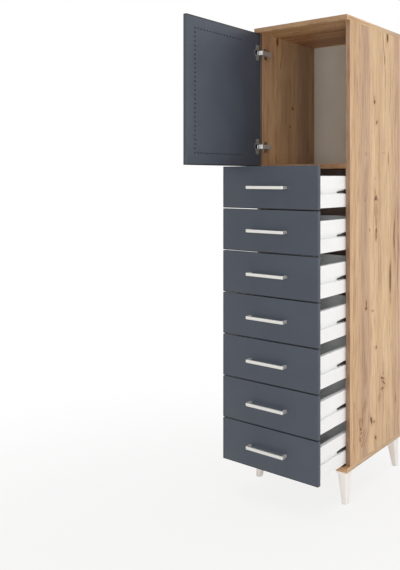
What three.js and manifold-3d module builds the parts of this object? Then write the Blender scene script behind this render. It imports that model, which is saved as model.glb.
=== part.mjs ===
// Tall chifforobe: one hinged door over a stack of drawers, on four tapered legs.
// Millimetres. X runs across the front, Y from the front edge to the back, Z up from the floor.
// It is shown as in use, with the door swung open and every drawer drawn out.
import * as THREE from 'three';
import { ConvexGeometry } from 'three/addons/geometries/ConvexGeometry.js';
import { mergeVertices } from 'three/addons/utils/BufferGeometryUtils.js';
import Module from 'manifold-3d';

const wasm = await Module();
wasm.setup();

// Driving dimensions of the case
const caseWidth = 435;
const caseDepth = 445;
const caseHeight = 1700;
const boardThickness = 18;
const frontOverhang = 22;
const legHeight = 120;

// Driving dimensions of the fronts, which lie between the top and bottom boards
const drawerCount = 7;
const doorHeight = 540;
const frontThickness = 16;
const frontSetback = 2;
const frontGap = 3;
const frontReveal = 2;
const frontSideInset = 1.5;

// The pose in which the chest is shown
const drawerPull = 197;
const doorOpening = Math.PI / 2;

// Clearances, edge softness and how far a cut runs past what it cuts
const fitGap = 0.3;
const boardEdge = 0.5;
const frontEdge = 1;
const cutOverrun = 1;

// Levels and planes that several pieces share
const caseHalf = caseWidth / 2;
const innerHalf = caseHalf - boardThickness;
const bottomTop = legHeight + boardThickness;
const topBoardUnder = legHeight + caseHeight - boardThickness;
const frontInnerY = frontSetback + frontThickness;
const frontWidth = caseWidth - 2 * frontSideInset;
const drawerStack = topBoardUnder - bottomTop - 2 * frontReveal - doorHeight;
const drawerPitch = drawerStack / drawerCount;
const drawerFrontHeight = drawerPitch - frontGap;
const doorBottom = topBoardUnder - frontReveal - doorHeight;

// Finishes

function oakDecor() {
  return new THREE.MeshStandardMaterial({ color: 0xc9a37c, roughness: 0.55, metalness: 0 });
}

function anthraciteFoil() {
  return new THREE.MeshStandardMaterial({ color: 0x50545e, roughness: 0.5, metalness: 0 });
}

function whiteBoard() {
  return new THREE.MeshStandardMaterial({ color: 0xf0f0ee, roughness: 0.5, metalness: 0 });
}

function greyHardboard() {
  return new THREE.MeshStandardMaterial({ color: 0x9b9389, roughness: 0.7, metalness: 0 });
}

function satinNickel() {
  return new THREE.MeshStandardMaterial({ color: 0xd9d7d0, roughness: 0.35, metalness: 0.8 });
}

function nickelPlate() {
  return new THREE.MeshStandardMaterial({ color: 0xc8c8c8, roughness: 0.25, metalness: 0.9 });
}

function zincSteel() {
  return new THREE.MeshStandardMaterial({ color: 0xb9bcbd, roughness: 0.4, metalness: 0.8 });
}

function creamPlastic() {
  return new THREE.MeshStandardMaterial({ color: 0xe8e2da, roughness: 0.4, metalness: 0 });
}

const oak = oakDecor();
const anthracite = anthraciteFoil();
const white = whiteBoard();
const hardboard = greyHardboard();
const nickel = satinNickel();
const plated = nickelPlate();
const zinc = zincSteel();
const cream = creamPlastic();

// Shared shape tools

function solidOf(geometry) {
  const bare = geometry.clone();
  bare.deleteAttribute('normal');
  bare.deleteAttribute('uv');
  const merged = mergeVertices(bare);
  return new wasm.Manifold(new wasm.Mesh({
    numProp: 3,
    vertProperties: new Float32Array(merged.attributes.position.array),
    triVerts: new Uint32Array(merged.index.array),
  }));
}

function geometryOf(solid) {
  const mesh = solid.getMesh();
  const geometry = new THREE.BufferGeometry();
  geometry.setAttribute('position', new THREE.BufferAttribute(mesh.vertProperties, mesh.numProp));
  geometry.setIndex(new THREE.BufferAttribute(mesh.triVerts, 1));
  const faceted = geometry.toNonIndexed();
  faceted.computeVertexNormals();
  return faceted;
}

// A board between two corners, with all of its edges eased by the same small chamfer
function easedBoard(low, high, edge) {
  const ends = [low, high];
  const points = [];
  for (const corner of [0, 1, 2, 3, 4, 5, 6, 7]) {
    const side = [corner & 1, (corner >> 1) & 1, (corner >> 2) & 1];
    for (const fullAxis of [0, 1, 2]) {
      const place = side.map((end, axis) => {
        const inward = end === 1 ? -edge : edge;
        return ends[end][axis] + (axis === fullAxis ? 0 : inward);
      });
      points.push(new THREE.Vector3(...place));
    }
  }
  return new ConvexGeometry(points);
}

function block(low, high) {
  const size = high.map((value, axis) => value - low[axis]);
  const box = new THREE.BoxGeometry(...size);
  box.translate(low[0] + size[0] / 2, low[1] + size[1] / 2, low[2] + size[2] / 2);
  return box;
}

// A round bar or cutter along Z or along Y, from one level to another
function roundAlongZ(radius, x, y, lowZ, highZ, sides) {
  const bar = new THREE.CylinderGeometry(radius, radius, highZ - lowZ, sides);
  bar.rotateX(Math.PI / 2);
  bar.translate(x, y, (lowZ + highZ) / 2);
  return bar;
}

function roundAlongY(radius, x, z, lowY, highY, sides) {
  const bar = new THREE.CylinderGeometry(radius, radius, highY - lowY, sides);
  bar.translate(x, (lowY + highY) / 2, z);
  return bar;
}

// An outline drawn in X and Z, given its thickness along Y from a starting plane
function uprightPlate(shape, startY, thickness, segments) {
  const plate = new THREE.ExtrudeGeometry(shape, {
    depth: thickness,
    bevelEnabled: false,
    curveSegments: segments,
  });
  plate.rotateX(Math.PI / 2);
  plate.translate(0, startY + thickness, 0);
  return plate;
}

// Closed skin over a stack of rings that have the same number of points
function loft(rings) {
  const count = rings[0].length;
  const positions = rings.flat().flatMap((point) => [point.x, point.y, point.z]);
  const index = [];
  for (let level = 0; level < rings.length - 1; level += 1) {
    for (let step = 0; step < count; step += 1) {
      const next = (step + 1) % count;
      const here = level * count;
      const above = here + count;
      index.push(here + step, here + next, above + next);
      index.push(here + step, above + next, above + step);
    }
  }
  const last = (rings.length - 1) * count;
  for (let step = 1; step < count - 1; step += 1) {
    index.push(0, step + 1, step);
    index.push(last, last + step, last + step + 1);
  }
  const geometry = new THREE.BufferGeometry();
  geometry.setAttribute('position', new THREE.Float32BufferAttribute(positions, 3));
  geometry.setIndex(index);
  return geometry;
}

function piece(name, geometry, material) {
  const mesh = new THREE.Mesh(geometry, material);
  mesh.name = name;
  return mesh;
}

// Back panel: thin hardboard let into a groove that runs round the four case boards
const backThickness = 3;
const backRecess = 21;
const backGrooveDepth = 6;
const backFrontY = caseDepth - backRecess - backThickness;
const backTongue = backGrooveDepth - fitGap;

function backGrooveCut() {
  const low = [-innerHalf - backGrooveDepth, backFrontY - fitGap, bottomTop - backGrooveDepth];
  const high = [
    innerHalf + backGrooveDepth,
    backFrontY + backThickness + fitGap,
    topBoardUnder + backGrooveDepth,
  ];
  return solidOf(block(low, high));
}

function backPanel() {
  const low = [-innerHalf - backTongue, backFrontY, bottomTop - backTongue];
  const high = [innerHalf + backTongue, backFrontY + backThickness, topBoardUnder + backTongue];
  return piece('back_panel', block(low, high), hardboard);
}

// Case boards: the top and bottom boards cap the side panels and stand proud of them in front
function grooved(low, high) {
  return geometryOf(solidOf(easedBoard(low, high, boardEdge)).subtract(backGrooveCut()));
}

function cappingBoard(name, underside) {
  const low = [-caseHalf, 0, underside];
  const high = [caseHalf, caseDepth, underside + boardThickness];
  return piece(name, grooved(low, high), oak);
}

function sidePanel(name, lowX) {
  const low = [lowX, frontOverhang, bottomTop];
  const high = [lowX + boardThickness, caseDepth, topBoardUnder];
  return piece(name, grooved(low, high), oak);
}

// The fixed shelf between the door's compartment and the drawers, centred on their joint
function dividerShelf() {
  const middle = doorBottom - frontGap / 2;
  const low = [-innerHalf, frontOverhang, middle - boardThickness / 2];
  const high = [innerHalf, backFrontY, middle + boardThickness / 2];
  return piece('divider_shelf', easedBoard(low, high, boardEdge), oak);
}

// Legs: moulded in one piece, square with rounded corners. The two outer faces are upright,
// the inner two taper to the foot and flare out under the board into a screw flange.
const legInset = 5;
const legFootSize = 21;
const legNeckSize = 36;
const legFlangeSize = 61;
const legFlangeThickness = 3;
const legFlareHeight = 15;
const legFlareSteps = 5;
const legFootChamfer = 1;
const legCornerShare = 0.18;
const legCornerSteps = 2;

function legRing(size, height, trim) {
  const radius = size * legCornerShare;
  const low = legInset + trim;
  const high = legInset + size - trim;
  const centres = [
    [high - radius, high - radius],
    [low + radius, high - radius],
    [low + radius, low + radius],
    [high - radius, low + radius],
  ];
  const ring = [];
  centres.forEach(([x, y], corner) => {
    for (let step = 0; step <= legCornerSteps; step += 1) {
      const angle = (corner + step / legCornerSteps) * Math.PI / 2;
      const across = x + radius * Math.cos(angle);
      const along = y + radius * Math.sin(angle);
      ring.push(new THREE.Vector3(across, along, height));
    }
  });
  return ring;
}

function legGeometry() {
  const neckHeight = legHeight - legFlangeThickness - legFlareHeight;
  const rings = [
    legRing(legFootSize, 0, legFootChamfer),
    legRing(legFootSize, legFootChamfer, 0),
  ];
  for (let step = 0; step <= legFlareSteps; step += 1) {
    const angle = (step / legFlareSteps) * Math.PI / 2;
    const spread = (legFlangeSize - legNeckSize) * (1 - Math.cos(angle));
    rings.push(legRing(legNeckSize + spread, neckHeight + legFlareHeight * Math.sin(angle), 0));
  }
  rings.push(legRing(legFlangeSize, legHeight, 0));
  return loft(rings);
}

// The leg is drawn for the left front corner; each corner turns it a quarter more
function leg(name, x, y, quarterTurns) {
  const mesh = piece(name, legGeometry(), cream);
  mesh.position.set(x, y, 0);
  mesh.rotation.z = quarterTurns * Math.PI / 2;
  return mesh;
}

// Handles: a bar carried on a post at each end, cast in one, the same on door and drawers
const handleLength = 168;
const handleHeight = 13;
const handleProjection = 28;
const handleBarThickness = 7;
const handlePostWidth = 9;
const handleOuterRadius = 3;
const handleInnerRadius = 2.5;
const handleEdge = 0.8;
const handleCurveSteps = 3;

function handleOutline() {
  const half = handleLength / 2;
  const inside = half - handlePostWidth;
  const barBack = handleBarThickness - handleProjection;
  const outer = handleOuterRadius;
  const inner = handleInnerRadius;
  const shape = new THREE.Shape();
  shape.moveTo(-inside, 0);
  shape.lineTo(-half, 0);
  shape.absarc(-half + outer, -handleProjection + outer, outer, Math.PI, 1.5 * Math.PI, false);
  shape.absarc(half - outer, -handleProjection + outer, outer, 1.5 * Math.PI, 2 * Math.PI, false);
  shape.lineTo(half, 0);
  shape.lineTo(inside, 0);
  shape.absarc(inside - inner, barBack + inner, inner, 0, -Math.PI / 2, true);
  shape.absarc(-inside + inner, barBack + inner, inner, 1.5 * Math.PI, Math.PI, true);
  shape.closePath();
  return shape;
}

function handleGeometry() {
  const handle = new THREE.ExtrudeGeometry(handleOutline(), {
    depth: handleHeight - 2 * handleEdge,
    bevelEnabled: true,
    bevelThickness: handleEdge,
    bevelSize: handleEdge,
    bevelOffset: -handleEdge,
    bevelSegments: 1,
    curveSegments: handleCurveSteps,
  });
  handle.translate(0, 0, handleEdge - handleHeight / 2);
  return handle;
}

// Concealed hinges: a cup let into the door carries the pin, and an arm on the side panel
// turns on it. Both cups lie the same distance from the ends of the door.
const hingeFromDoorEnd = 80;
const cupRadius = 17.5;
const cupDepth = 12.3;
const cupWall = 1;
const cupFromDoorEdge = 3;
const cupRim = 1.5;
const cupPlateThickness = 1.2;
const cupPlateLength = 62;
const cupPlateWidth = 20;
const cupPlateCorner = 3;
const cupPlateCurveSteps = 3;
const cupSides = 28;
const pinRadius = 1.25;
const pinFromDoorEdge = 8.6;
const pinBelowFace = 8.2;
const pinSides = 12;
const pinX = -caseHalf + frontSideInset + pinFromDoorEdge;
const pinY = frontInnerY - pinBelowFace;
const cupX = -caseHalf + frontSideInset + cupFromDoorEdge + cupRadius;
const hingeLevels = {
  lower: doorBottom + hingeFromDoorEnd,
  upper: doorBottom + doorHeight - hingeFromDoorEnd,
};

function cupPlateOutline(level) {
  const halfWidth = cupPlateWidth / 2;
  const halfLength = cupPlateLength / 2;
  const round = cupPlateCorner;
  const right = cupX + halfWidth - round;
  const left = cupX - halfWidth + round;
  const top = level + halfLength - round;
  const bottom = level - halfLength + round;
  const shape = new THREE.Shape();
  shape.moveTo(right + round, bottom);
  shape.lineTo(right + round, top);
  shape.absarc(right, top, round, 0, Math.PI / 2, false);
  shape.absarc(left, top, round, Math.PI / 2, Math.PI, false);
  shape.absarc(left, bottom, round, Math.PI, 1.5 * Math.PI, false);
  shape.absarc(right, bottom, round, 1.5 * Math.PI, 2 * Math.PI, false);
  return shape;
}

function hingeCup(name, level) {
  const bottomY = frontInnerY - cupDepth;
  const faceY = frontInnerY + cupPlateThickness;
  const innerRadius = cupRadius - cupWall;
  const pinHalf = Math.sqrt(innerRadius ** 2 - (cupX - pinX) ** 2) + cupWall / 2;
  const pot = solidOf(roundAlongY(cupRadius, cupX, level, bottomY, faceY, cupSides));
  const rim = solidOf(roundAlongY(cupRadius + cupRim, cupX, level, frontInnerY, faceY, cupSides));
  const outline = cupPlateOutline(level);
  const plate = solidOf(
    uprightPlate(outline, frontInnerY, cupPlateThickness, cupPlateCurveSteps));
  const hollow = roundAlongY(
    innerRadius, cupX, level, bottomY + cupWall, faceY + cutOverrun, cupSides);
  const pin = solidOf(roundAlongZ(pinRadius, pinX, pinY, level - pinHalf, level + pinHalf, pinSides));
  const shell = pot.add(rim).add(plate).subtract(solidOf(hollow));
  return piece(name, geometryOf(shell.add(pin)), plated);
}

const armThickness = 2;
const armReach = 24;
const armKnuckleRadius = 2.5;
const armKnuckleWidth = 15;
const armShoulderGap = 1;
const armChannelWidth = 17;
const armChannelWall = 1.2;
const armChannelFromPanelEdge = 3;
const armChannelLength = 48;
const armBendRadius = 3;
const armCurveSteps = 4;
const armWebX = pinX + armReach - armThickness / 2;
const armChannelStart = frontOverhang + armChannelFromPanelEdge;
const armChannelEnd = armChannelStart + armChannelLength;

// The arm's side view: from the pin across the cup, round a bend and back along the side panel
function armOutline() {
  const half = armThickness / 2;
  const far = armReach + half;
  const near = armReach - half;
  const end = armChannelEnd - pinY;
  const inner = armBendRadius - armThickness;
  const shape = new THREE.Shape();
  shape.moveTo(0, -half);
  shape.lineTo(armReach - armBendRadius, -half);
  shape.absarc(
    far - armBendRadius, armBendRadius - half, armBendRadius, -Math.PI / 2, 0, false);
  shape.lineTo(far, end);
  shape.lineTo(near, end);
  shape.absarc(near - inner, half + inner, inner, 0, -Math.PI / 2, true);
  shape.lineTo(0, half);
  shape.closePath();
  return shape;
}

const mountPlateThickness = 2;
const mountPlateLength = 42;
const mountWingLength = 20;
const mountWingSpan = 44;
const mountBodyLength = armChannelLength - 2 * armThickness;

function armStrip(level, width) {
  const strip = new THREE.ExtrudeGeometry(armOutline(), {
    depth: width,
    bevelEnabled: false,
    curveSegments: armCurveSteps,
  });
  strip.translate(pinX, pinY, level - width / 2);
  return solidOf(strip);
}

// The arm is narrow where it turns inside the cup, and wider once it is clear of the cup's rim
function hingeArm(name, level) {
  const shoulderX = pinX + pinBelowFace + cupPlateThickness + armShoulderGap;
  const clearOfCup = block(
    [shoulderX, pinY - armReach, level - armChannelWidth],
    [pinX + 2 * armReach, armChannelEnd + cutOverrun, level + armChannelWidth]);
  const shoulder = armStrip(level, armChannelWidth).intersect(solidOf(clearOfCup));
  const strip = armStrip(level, armKnuckleWidth).add(shoulder);
  const knuckleLow = level - armKnuckleWidth / 2;
  const knuckleHigh = level + armKnuckleWidth / 2;
  const knuckle = roundAlongZ(armKnuckleRadius, pinX, pinY, knuckleLow, knuckleHigh, pinSides);
  const bore = roundAlongZ(
    pinRadius + fitGap, pinX, pinY, knuckleLow - cutOverrun, knuckleHigh + cutOverrun, pinSides);
  const lipX = -innerHalf + mountPlateThickness + fitGap;
  const channelHalf = armChannelWidth / 2;
  const channel = block(
    [lipX, armChannelStart, level - channelHalf],
    [armWebX + armThickness, armChannelEnd, level + channelHalf]);
  const channelHollow = block(
    [lipX - cutOverrun, armChannelStart - cutOverrun, level - channelHalf + armChannelWall],
    [armWebX, armChannelEnd + cutOverrun, level + channelHalf - armChannelWall]);
  const body = solidOf(channel).subtract(solidOf(channelHollow));
  const whole = strip.add(solidOf(knuckle)).add(body).subtract(solidOf(bore));
  return piece(name, geometryOf(whole), plated);
}

// Mounting plate: winged, screwed to the side panel, with a block that the arm straddles
function hingePlate(name, level) {
  const middleY = (armChannelStart + armChannelEnd) / 2;
  const blockHalf = armChannelWidth / 2 - armChannelWall - fitGap;
  const plateTop = -innerHalf + mountPlateThickness;
  const base = easedBoard(
    [-innerHalf, middleY - mountPlateLength / 2, level - blockHalf],
    [plateTop, middleY + mountPlateLength / 2, level + blockHalf],
    boardEdge);
  const wings = easedBoard(
    [-innerHalf, middleY - mountWingLength / 2, level - mountWingSpan / 2],
    [plateTop, middleY + mountWingLength / 2, level + mountWingSpan / 2],
    boardEdge);
  const saddle = easedBoard(
    [-innerHalf, middleY - mountBodyLength / 2, level - blockHalf],
    [armWebX, middleY + mountBodyLength / 2, level + blockHalf],
    boardEdge);
  const whole = solidOf(base).add(solidOf(wings)).add(solidOf(saddle));
  return piece(name, geometryOf(whole), plated);
}

// Door: one board, bored on its inner face for the two cups, with an upright handle
const doorHandleFromEdge = 60;
const doorHandleFromBottom = 130;

function doorPanel() {
  const low = [-frontWidth / 2, frontSetback, doorBottom];
  const high = [frontWidth / 2, frontInnerY, doorBottom + doorHeight];
  let board = solidOf(easedBoard(low, high, frontEdge));
  for (const level of Object.values(hingeLevels)) {
    const bore = roundAlongY(
      cupRadius + fitGap, cupX, level,
      frontInnerY - cupDepth - fitGap, frontInnerY + cutOverrun, cupSides);
    board = board.subtract(solidOf(bore));
  }
  return piece('door_panel', geometryOf(board), anthracite);
}

function doorHandle() {
  const mesh = piece('door_handle', handleGeometry(), nickel);
  const x = frontWidth / 2 - doorHandleFromEdge;
  mesh.position.set(x, frontSetback, doorBottom + doorHandleFromBottom);
  mesh.rotation.y = Math.PI / 2;
  return mesh;
}

// The door is built shut inside a group that turns about the hinge pins
function door() {
  const swing = new THREE.Group();
  swing.position.set(pinX, pinY, 0);
  swing.rotation.z = -doorOpening;
  const shut = new THREE.Group();
  shut.position.set(-pinX, -pinY, 0);
  shut.add(doorPanel(), doorHandle());
  for (const [where, level] of Object.entries(hingeLevels)) {
    shut.add(hingeCup(`hinge_cup_${where}`, level));
  }
  swing.add(shut);
  return swing;
}

// Runners: a rolled steel channel on each side panel, on which the grooved drawer side slides
const runnerHeight = 16.4;
const runnerDepth = 9.3;
const runnerWall = 1.2;
const runnerLip = 2.6;
const runnerLength = 350;
const runnerFromPanelEdge = 5;

function runnerOutline() {
  const half = runnerHeight / 2;
  const shape = new THREE.Shape();
  shape.moveTo(0, -half);
  shape.lineTo(runnerDepth, -half);
  shape.lineTo(runnerDepth, -half + runnerLip);
  shape.lineTo(runnerDepth - runnerWall, -half + runnerLip);
  shape.lineTo(runnerDepth - runnerWall, -half + runnerWall);
  shape.lineTo(runnerWall, -half + runnerWall);
  shape.lineTo(runnerWall, half - runnerWall);
  shape.lineTo(runnerDepth - runnerWall, half - runnerWall);
  shape.lineTo(runnerDepth - runnerWall, half - runnerLip);
  shape.lineTo(runnerDepth, half - runnerLip);
  shape.lineTo(runnerDepth, half);
  shape.lineTo(0, half);
  shape.closePath();
  return shape;
}

function runner(name, side, level) {
  const geometry = uprightPlate(runnerOutline(), -runnerLength / 2, runnerLength, 1);
  const mesh = piece(name, geometry, zinc);
  const middleY = frontOverhang + runnerFromPanelEdge + runnerLength / 2;
  mesh.position.set(side * innerHalf, middleY, level);
  mesh.rotation.z = side > 0 ? Math.PI : 0;
  return mesh;
}

// Drawers: two grooved sides and a back, a thin bottom slid into grooves, and a planted front
const drawerSideGap = 1.5;
const drawerSideThickness = 16;
const drawerBoxLength = 380;
const drawerBoxFromFrontBottom = 5.5;
const drawerBoxFromFrontTop = 36.5;
const drawerSideHeight = drawerFrontHeight - drawerBoxFromFrontBottom - drawerBoxFromFrontTop;
const drawerBottomThickness = 3;
const drawerBottomLift = 12;
const drawerBottomGroove = 6;
const drawerHalf = innerHalf - drawerSideGap;
const drawerInnerHalf = drawerHalf - drawerSideThickness;
const runnerGrooveDepth = runnerDepth - drawerSideGap + fitGap;
const drawerBoxEndY = frontInnerY + drawerBoxLength;

// Heights here are counted from the underside of the drawer's front
const boxBottom = drawerBoxFromFrontBottom;
const boxTop = drawerBoxFromFrontBottom + drawerSideHeight;
const runnerLevel = drawerBoxFromFrontBottom + drawerSideHeight / 2;

function drawerBox(name) {
  const outer = easedBoard(
    [-drawerHalf, frontInnerY, boxBottom], [drawerHalf, drawerBoxEndY, boxTop], boardEdge);
  const hollow = block(
    [-drawerInnerHalf, frontInnerY - cutOverrun, boxBottom - cutOverrun],
    [drawerInnerHalf, drawerBoxEndY - drawerSideThickness, boxTop + cutOverrun]);
  const slotLow = boxBottom + drawerBottomLift - fitGap;
  const slot = block(
    [-drawerInnerHalf - drawerBottomGroove, frontInnerY - cutOverrun, slotLow],
    [
      drawerInnerHalf + drawerBottomGroove,
      drawerBoxEndY - drawerSideThickness + drawerBottomGroove,
      slotLow + drawerBottomThickness + 2 * fitGap,
    ]);
  let box = solidOf(outer).subtract(solidOf(hollow)).subtract(solidOf(slot));
  const grooveHalf = runnerHeight / 2 + fitGap;
  for (const side of [-1, 1]) {
    const faces = [side * (drawerHalf + cutOverrun), side * (drawerHalf - runnerGrooveDepth)];
    const groove = block(
      [Math.min(...faces), frontInnerY - cutOverrun, runnerLevel - grooveHalf],
      [Math.max(...faces), drawerBoxEndY + cutOverrun, runnerLevel + grooveHalf]);
    box = box.subtract(solidOf(groove));
  }
  return piece(name, geometryOf(box), white);
}

function drawerBottom(name) {
  const reach = drawerInnerHalf + drawerBottomGroove - fitGap;
  const low = boxBottom + drawerBottomLift;
  const geometry = block(
    [-reach, frontInnerY, low],
    [
      reach,
      drawerBoxEndY - drawerSideThickness + drawerBottomGroove - fitGap,
      low + drawerBottomThickness,
    ]);
  return piece(name, geometry, hardboard);
}

function drawerFront(name) {
  const low = [-frontWidth / 2, frontSetback, 0];
  const high = [frontWidth / 2, frontInnerY, drawerFrontHeight];
  return piece(name, easedBoard(low, high, frontEdge), anthracite);
}

function drawerHandle(name) {
  const mesh = piece(name, handleGeometry(), nickel);
  mesh.position.set(0, frontSetback, drawerFrontHeight / 2);
  return mesh;
}

// Drawers are counted from the top
function drawerFloor(number) {
  return bottomTop + frontReveal + (drawerCount - number) * drawerPitch;
}

function drawer(number) {
  const group = new THREE.Group();
  group.position.set(0, -drawerPull, drawerFloor(number));
  group.add(
    drawerFront(`drawer_${number}_front`),
    drawerHandle(`drawer_${number}_handle`),
    drawerBox(`drawer_${number}_box`),
    drawerBottom(`drawer_${number}_bottom`));
  return group;
}

// The whole chest, moved so that its origin is on the floor at the middle of all it covers
const openDoorX = pinX - (frontThickness - pinBelowFace) - handleProjection;
const openDoorY = pinY - (frontWidth - pinFromDoorEdge);
const chest = new THREE.Group();
chest.position.set(-(openDoorX + caseHalf) / 2, -(openDoorY + caseDepth) / 2, 0);
chest.add(
  cappingBoard('top_board', topBoardUnder),
  cappingBoard('bottom_board', legHeight),
  sidePanel('left_side_panel', -caseHalf),
  sidePanel('right_side_panel', innerHalf),
  dividerShelf(),
  backPanel(),
  leg('leg_front_left', -caseHalf, 0, 0),
  leg('leg_front_right', caseHalf, 0, 1),
  leg('leg_rear_right', caseHalf, caseDepth, 2),
  leg('leg_rear_left', -caseHalf, caseDepth, 3),
  door());
for (const [where, level] of Object.entries(hingeLevels)) {
  chest.add(hingeArm(`hinge_arm_${where}`, level), hingePlate(`hinge_plate_${where}`, level));
}
for (let number = 1; number <= drawerCount; number += 1) {
  const level = drawerFloor(number) + runnerLevel;
  chest.add(
    drawer(number),
    runner(`runner_${number}_left`, -1, level),
    runner(`runner_${number}_right`, 1, level));
}

export default chest;
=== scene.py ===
import math

import bmesh
import bpy
from mathutils import Matrix, Vector


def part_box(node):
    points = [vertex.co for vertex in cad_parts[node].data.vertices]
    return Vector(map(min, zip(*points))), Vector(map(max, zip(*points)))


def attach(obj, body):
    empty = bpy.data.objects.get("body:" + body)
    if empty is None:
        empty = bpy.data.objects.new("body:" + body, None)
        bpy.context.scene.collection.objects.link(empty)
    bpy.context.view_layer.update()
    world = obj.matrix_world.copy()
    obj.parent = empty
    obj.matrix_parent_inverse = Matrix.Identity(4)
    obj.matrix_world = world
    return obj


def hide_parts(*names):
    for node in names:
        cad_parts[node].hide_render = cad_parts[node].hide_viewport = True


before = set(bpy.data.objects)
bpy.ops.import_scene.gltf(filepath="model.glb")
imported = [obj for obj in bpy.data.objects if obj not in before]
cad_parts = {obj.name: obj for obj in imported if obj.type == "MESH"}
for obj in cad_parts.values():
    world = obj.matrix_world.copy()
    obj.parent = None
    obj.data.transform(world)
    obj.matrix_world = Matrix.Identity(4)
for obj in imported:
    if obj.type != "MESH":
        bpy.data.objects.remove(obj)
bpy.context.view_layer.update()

# The view: a level camera 1.2 m up, in front of the chest and to its right, turned left to it.
# The lens is shifted, so that upright edges stay upright and the chest stands at the right.
millimetre = 0.001
camera_place = (1.4989, -2.1915, 1.2139)
camera_turn = math.radians(35.54)
camera_lens = 42.86
camera_shift = (-0.1474, -0.1881)
camera_far = 60

camera_data = bpy.data.cameras.new("camera")
camera_data.lens = camera_lens
camera_data.shift_x, camera_data.shift_y = camera_shift
camera_data.clip_end = camera_far
camera = bpy.data.objects.new("camera", camera_data)
camera.location = camera_place
camera.rotation_euler = (math.pi / 2, 0, camera_turn)
bpy.context.scene.collection.objects.link(camera)
bpy.context.scene.camera = camera
bpy.context.scene.view_settings.view_transform = "Standard"


# The room: a sheet of matt paper that keeps a soft shadow and whitens away from the viewer, as in
# the photo, into a white surround. Only what the camera and polished metal see is whitened.
def linear(shade):
    channels = [int(shade[place:place + 2], 16) / 255 for place in (1, 3, 5)]
    return (*[c / 12.92 if c <= 0.04045 else ((c + 0.055) / 1.055) ** 2.4 for c in channels], 1)


def add(tree, kind, inputs=None, output=0, stops=(), **settings):
    made = tree.nodes.new("ShaderNode" + kind)
    for name, value in settings.items():
        setattr(made, name, value)
    for socket, value in (inputs or {}).items():
        if isinstance(value, bpy.types.NodeSocket):
            tree.links.new(value, made.inputs[socket])
        else:
            made.inputs[socket].default_value = value
    for number, (place, shade) in enumerate(stops):
        marks = made.color_ramp.elements
        mark = marks[number] if number < 2 else marks.new(place)
        mark.position = place
        mark.color = linear(shade)
    return made.outputs[output]


blended = {"output": 2, "data_type": "RGBA"}
multiplied = {**blended, "blend_type": "MULTIPLY"}
noise_low = 0.3
noise_high = 0.7


def finish(name, shade, roughness, metallic=0):
    material = bpy.data.materials.new(name)
    material.use_nodes = True
    skin = material.node_tree.nodes["Principled BSDF"]
    skin.inputs["Base Color"].default_value = linear(shade)
    skin.inputs["Roughness"].default_value = roughness
    skin.inputs["Metallic"].default_value = metallic
    return material, material.node_tree, skin


def opened(material, name=None):
    if name:
        material = material.copy()
        material.name = name
    tree = material.node_tree
    skin = tree.nodes["Principled BSDF"]
    plain = skin.inputs["Base Color"].links[0].from_socket
    spot = add(tree, "SeparateXYZ", {0: add(tree, "TexCoord", output="Object")})
    return material, tree, skin, plain, spot.node.outputs


def coat(tree, skin, base, grain=None, rough=None, relief=None):
    tree.links.new(base, skin.inputs["Base Color"])
    if rough:
        dull = add(tree, "MapRange", {0: grain, 1: noise_low, 2: noise_high,
                                      3: rough[0], 4: rough[1]})
        tree.links.new(dull, skin.inputs["Roughness"])
    if relief:
        bump = add(tree, "Bump", {"Height": grain, "Strength": relief[0],
                                  "Distance": relief[1] * millimetre})
        tree.links.new(bump, skin.inputs["Normal"])


def seen_directly(tree):
    glossy = add(tree, "LightPath", output="Is Glossy Ray")
    camera_ray = glossy.node.outputs["Is Camera Ray"]
    clear = glossy.node.outputs["Is Transmission Ray"]
    either = add(tree, "Math", {0: camera_ray, 1: glossy}, operation="MAXIMUM")
    return add(tree, "Math", {0: either, 1: clear}, operation="MAXIMUM")


floor_size = 40
floor_middle = (0.70, -0.98, 0)
floor_fade_start = 0.8
floor_fade_end = 2.8
floor_shade = "#fbf7f4"
floor_white_share = 0.88
floor_near_white = 0.917
floor_roughness = 0.9

bpy.ops.object.select_all(action="DESELECT")
bpy.ops.mesh.primitive_plane_add(size=floor_size)
floor = bpy.context.object
floor.name = "floor"
paper, tree, skin = finish("matt_floor_paper", floor_shade, floor_roughness)
spot = add(tree, "TexCoord", output="Object")
reach = add(tree, "VectorMath", {0: spot, 1: floor_middle}, output="Value",
            operation="DISTANCE")
far = add(tree, "MapRange", {0: reach, 1: floor_fade_start, 2: floor_fade_end,
                             3: floor_white_share}, interpolation_type="SMOOTHSTEP")
fade = add(tree, "Math", {0: far, 1: seen_directly(tree)}, operation="MULTIPLY")
white = add(tree, "MapRange", {0: reach, 1: floor_fade_start, 2: floor_fade_end,
                               3: floor_near_white}, interpolation_type="SMOOTHSTEP")
white_far = add(tree, "Emission", {"Color": linear("#ffffff"), "Strength": white})
blend = add(tree, "MixShader", {0: fade, 1: skin.outputs[0], 2: white_far})
tree.links.new(blend, tree.nodes["Material Output"].inputs["Surface"])
floor.data.materials.append(paper)

# Light: an even white surround, a large soft lamp to the right of the chest and behind its
# front, another overhead that lights the floor, and one from the front at the right.
surround_shade = "#fffefc"
surround_strength = 0.41
lamps = (
    ("side_lamp", Vector((2.9, 1.6, 1.5)), Vector((0.1, 0.0, 0.9)), 2.2, 22),
    ("top_lamp", Vector((0.3, -0.9, 4.6)), Vector((0.3, -0.9, 0.0)), 3.4, 112),
    ("front_lamp", Vector((1.9, -2.6, 1.3)), Vector((0.0, 0.0, 0.7)), 0.9, 34))

world = bpy.data.worlds.new("surround")
world.use_nodes = True
bpy.context.scene.world = world
tree = world.node_tree
tree.nodes.clear()
glow = add(tree, "Background", {"Color": linear(surround_shade), "Strength": surround_strength})
white = add(tree, "Background", {"Color": linear("#ffffff"), "Strength": 1})
sky = add(tree, "MixShader", {0: seen_directly(tree), 1: glow, 2: white})
world_end = tree.nodes.new("ShaderNodeOutputWorld")
tree.links.new(sky, world_end.inputs["Surface"])

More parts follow.
